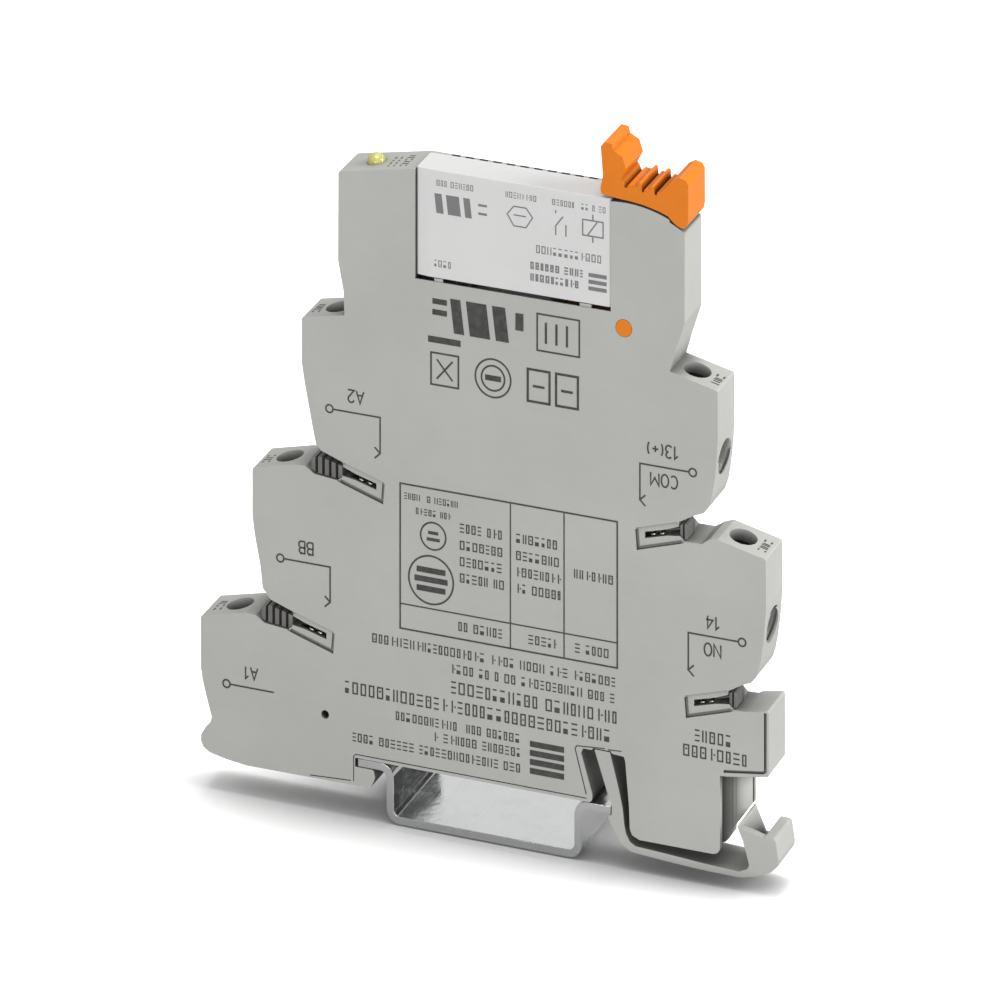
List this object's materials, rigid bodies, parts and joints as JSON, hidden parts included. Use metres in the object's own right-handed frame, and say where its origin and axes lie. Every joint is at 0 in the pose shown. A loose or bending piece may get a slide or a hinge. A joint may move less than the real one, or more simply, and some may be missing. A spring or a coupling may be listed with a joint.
{
  "type": "plug-in interface relay module",
  "caption": "Slim rail-mounted interface relay: stepped two-shell socket with screw terminals, a plug-in relay, an ejector lever, a signal lamp and a sprung rail latch.",
  "frame": {"origin": "middle of the rail's width on the rail's underside, at the middle of the module's thickness", "axes": "+X along the module from the coil terminals to the contact terminals, +Y through the thickness from the open front shell to the back cover, +Z away from the rail"},
  "size_m": [0.08, 0.016, 0.0924],
  "materials": {
    "housing_grey": "fine moulded texture",
    "ejector_orange": "satin moulded",
    "lamp_yellow": "translucent",
    "led_package": "smooth",
    "board_green": "solder resist",
    "resistor_beige": "lacquered",
    "capacitor_red": "dipped",
    "rectifier_black": "moulded epoxy",
    "capacitor_blue": "shrink sleeve",
    "tinned_copper": "tin plated",
    "spring_bronze": "tarnished spring bronze",
    "zinc_steel": "bright zinc plated",
    "screw_steel": "dark zinc plated, slotted",
    "relay_white": "satin moulded",
    "relay_base_black": "moulded",
    "bobbin_blue": "moulded",
    "winding_copper": "enamelled wire",
    "relay_iron": "plated soft iron",
    "contact_silver": "silver faced bronze",
    "card_black": "moulded"
  },
  "bodies": {
    "housing": {"front_shell": "housing_grey", "back_cover": "housing_grey", "led_lens": "lamp_yellow", "led_chip": "led_package", "circuit_board": "board_green", "input_resistors": "resistor_beige", "dropper_capacitor": "capacitor_red", "bridge_rectifier": "rectifier_black", "smoothing_capacitor": "capacitor_blue", "current_bar_a1": "tinned_copper", "current_bar_a2": "tinned_copper", "current_bar_bb": "tinned_copper", "current_bar_13": "tinned_copper", "current_bar_14": "tinned_copper", "bridge_contact_bb": "spring_bronze", "bridge_contact_a2": "spring_bronze", "bridge_contact_13": "spring_bronze", "bridge_contact_14": "spring_bronze", "socket_contacts": "tinned_copper"},
    "latch": {"foot_latch": "housing_grey"},
    "ejector": {"ejector_lever": "ejector_orange"},
    "relay": {"relay_cover": "relay_white", "relay_base": "relay_base_black", "coil_pins": "tinned_copper", "coil_bobbin": "bobbin_blue", "coil_winding": "winding_copper", "coil_core": "relay_iron", "coil_yoke": "relay_iron", "no_contact": "contact_silver", "nc_contact": "contact_silver"},
    "relay_armature": {"armature": "relay_iron"},
    "relay_card": {"actuator_card": "card_black"},
    "contact_blade": {"moving_contact": "contact_silver"},
    "rail": {"din_rail_stub": "zinc_steel"},
    "screw_a1": {"terminal_screw_a1": "screw_steel"},
    "cage_a1": {"clamp_cage_a1": "zinc_steel"},
    "screw_bb": {"terminal_screw_bb": "screw_steel"},
    "cage_bb": {"clamp_cage_bb": "zinc_steel"},
    "screw_a2": {"terminal_screw_a2": "screw_steel"},
    "cage_a2": {"clamp_cage_a2": "zinc_steel"},
    "screw_13": {"terminal_screw_13": "screw_steel"},
    "cage_13": {"clamp_cage_13": "zinc_steel"},
    "screw_14": {"terminal_screw_14": "screw_steel"},
    "cage_14": {"clamp_cage_14": "zinc_steel"}
  },
  "joints": [
    {"name": "ejector_swing", "type": "hinge", "parent": "housing", "child": "ejector", "pos_m": [0.0193, 0, 0.069], "axis": [0, 1, 0], "range_deg": [0, 20]},
    {"name": "relay_lift", "type": "slide", "parent": "housing", "child": "relay", "axis": [0, 0, 1], "range_m": [0, 0.003]},
    {"name": "foot_release", "type": "hinge", "parent": "housing", "child": "latch", "pos_m": [0.0163, 0, 0.0159], "axis": [0, -1, 0], "range_deg": [0, 3]},
    {"name": "rail_slide", "type": "slide", "parent": "housing", "child": "rail", "axis": [0, 1, 0], "range_m": [0, 0.01]},
    {"name": "armature_pull", "type": "hinge", "parent": "relay", "child": "relay_armature", "pos_m": [0.00475, -0.00045, 0.0739], "axis": [0, -1, 0], "range_deg": [0, 3]},
    {"name": "card_travel", "type": "slide", "parent": "relay", "child": "relay_card", "axis": [-1, 0, 0], "range_m": [0, 0.0005]},
    {"name": "contact_flex", "type": "hinge", "parent": "relay", "child": "contact_blade", "pos_m": [0.012, -0.00045, 0.0739], "axis": [0, -1, 0], "range_deg": [0, 3]},
    {"name": "screw_a1_turn", "type": "hinge", "parent": "housing", "child": "screw_a1", "pos_m": [-0.03324, 0, 0.0136], "axis": [0.2164, 0, -0.9763], "range_deg": [0, 1440]},
    {"name": "cage_a1_lift", "type": "slide", "parent": "housing", "child": "cage_a1", "axis": [-0.2164, 0, 0.9763], "range_m": [0, 0.002]},
    {"name": "screw_bb_turn", "type": "hinge", "parent": "housing", "child": "screw_bb", "pos_m": [-0.02624, 0, 0.0342], "axis": [0.2164, 0, -0.9763], "range_deg": [0, 1440]},
    {"name": "cage_bb_lift", "type": "slide", "parent": "housing", "child": "cage_bb", "axis": [-0.2164, 0, 0.9763], "range_m": [0, 0.002]},
    {"name": "screw_a2_turn", "type": "hinge", "parent": "housing", "child": "screw_a2", "pos_m": [-0.01924, 0, 0.0546], "axis": [0.2164, 0, -0.9763], "range_deg": [0, 1440]},
    {"name": "cage_a2_lift", "type": "slide", "parent": "housing", "child": "cage_a2", "axis": [-0.2164, 0, 0.9763], "range_m": [0, 0.002]},
    {"name": "screw_13_turn", "type": "hinge", "parent": "housing", "child": "screw_13", "pos_m": [0.02614, 0, 0.05457], "axis": [-0.2164, 0, -0.9763], "range_deg": [0, 1440]},
    {"name": "cage_13_lift", "type": "slide", "parent": "housing", "child": "cage_13", "axis": [0.2164, 0, 0.9763], "range_m": [0, 0.002]},
    {"name": "screw_14_turn", "type": "hinge", "parent": "housing", "child": "screw_14", "pos_m": [0.03239, 0, 0.03422], "axis": [-0.2164, 0, -0.9763], "range_deg": [0, 1440]},
    {"name": "cage_14_lift", "type": "slide", "parent": "housing", "child": "cage_14", "axis": [0.2164, 0, 0.9763], "range_m": [0, 0.002]}
  ],
  "couplings": [
    {"joint": "relay_lift", "follows": "ejector_swing", "m_per_rad": 0.0083},
    {"joint": "card_travel", "follows": "armature_pull", "m_per_rad": 0.0094},
    {"joint": "contact_flex", "follows": "armature_pull", "ratio": 1},
    {"joint": "screw_a1_turn", "follows": "cage_a1_lift", "rad_per_m": 12566},
    {"joint": "screw_bb_turn", "follows": "cage_bb_lift", "rad_per_m": 12566},
    {"joint": "screw_a2_turn", "follows": "cage_a2_lift", "rad_per_m": 12566},
    {"joint": "screw_13_turn", "follows": "cage_13_lift", "rad_per_m": 12566},
    {"joint": "screw_14_turn", "follows": "cage_14_lift", "rad_per_m": 12566}
  ]
}
